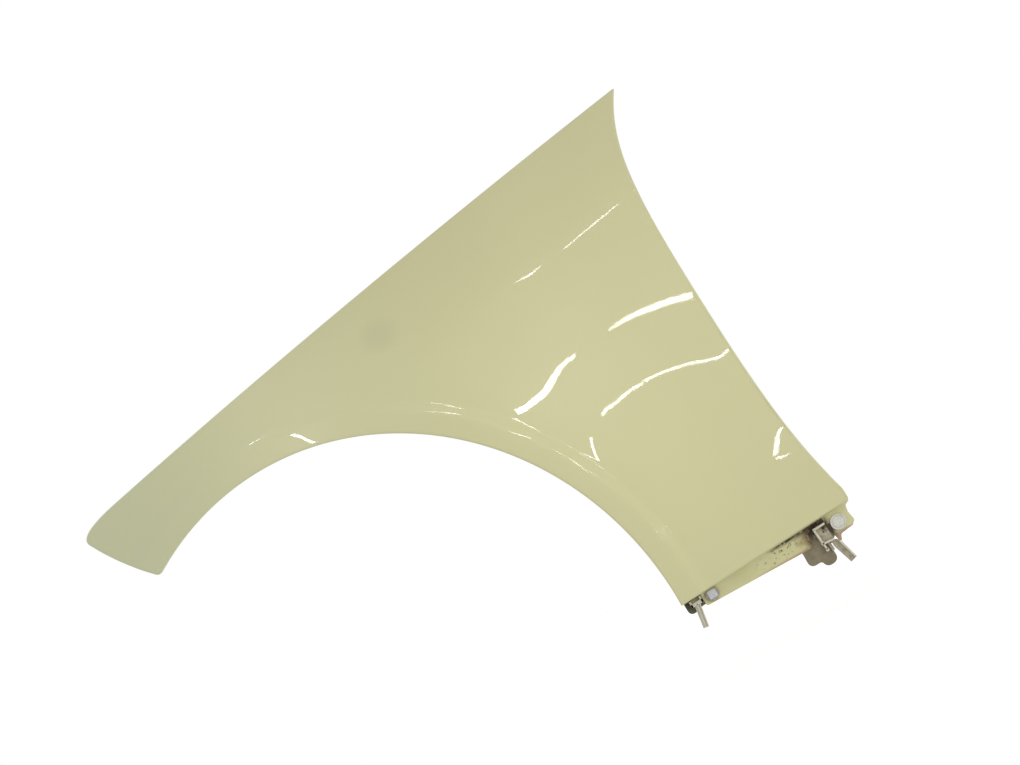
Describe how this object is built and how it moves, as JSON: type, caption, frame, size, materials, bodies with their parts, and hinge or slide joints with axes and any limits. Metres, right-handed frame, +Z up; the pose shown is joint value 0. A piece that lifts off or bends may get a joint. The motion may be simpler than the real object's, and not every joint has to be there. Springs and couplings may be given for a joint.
{
  "type": "car fender",
  "caption": "Left front car fender of pressed painted steel, with wheel-arch lip, shoulder crease, bolt flanges and leftover sill clips.",
  "frame": {"origin": "under the third bolt pad of the hood-side flange, counted from the front, 10 mm ahead of its hole, at the pad's lower face", "axes": "+X to the car's rear, +Y inboard, +Z up, as the panel is fitted; the outer painted side faces -Y"},
  "size_m": [0.8528, 0.173, 0.6479],
  "materials": {
    "cream_paint": "gloss",
    "brown_primer": "matte",
    "dark_primer": "matte",
    "ivory_plastic": "satin",
    "white_plastic": "satin",
    "grey_foam": "matte"
  },
  "bodies": {
    "root": {"fender_panel": "cream_paint", "rear_sill_bracket": "brown_primer", "front_sill_bracket": "dark_primer", "rear_sill_clip": "ivory_plastic", "front_sill_clip": "ivory_plastic", "rear_sill_plug": "white_plastic", "front_sill_plug": "grey_foam"}
  },
  "joints": []
}
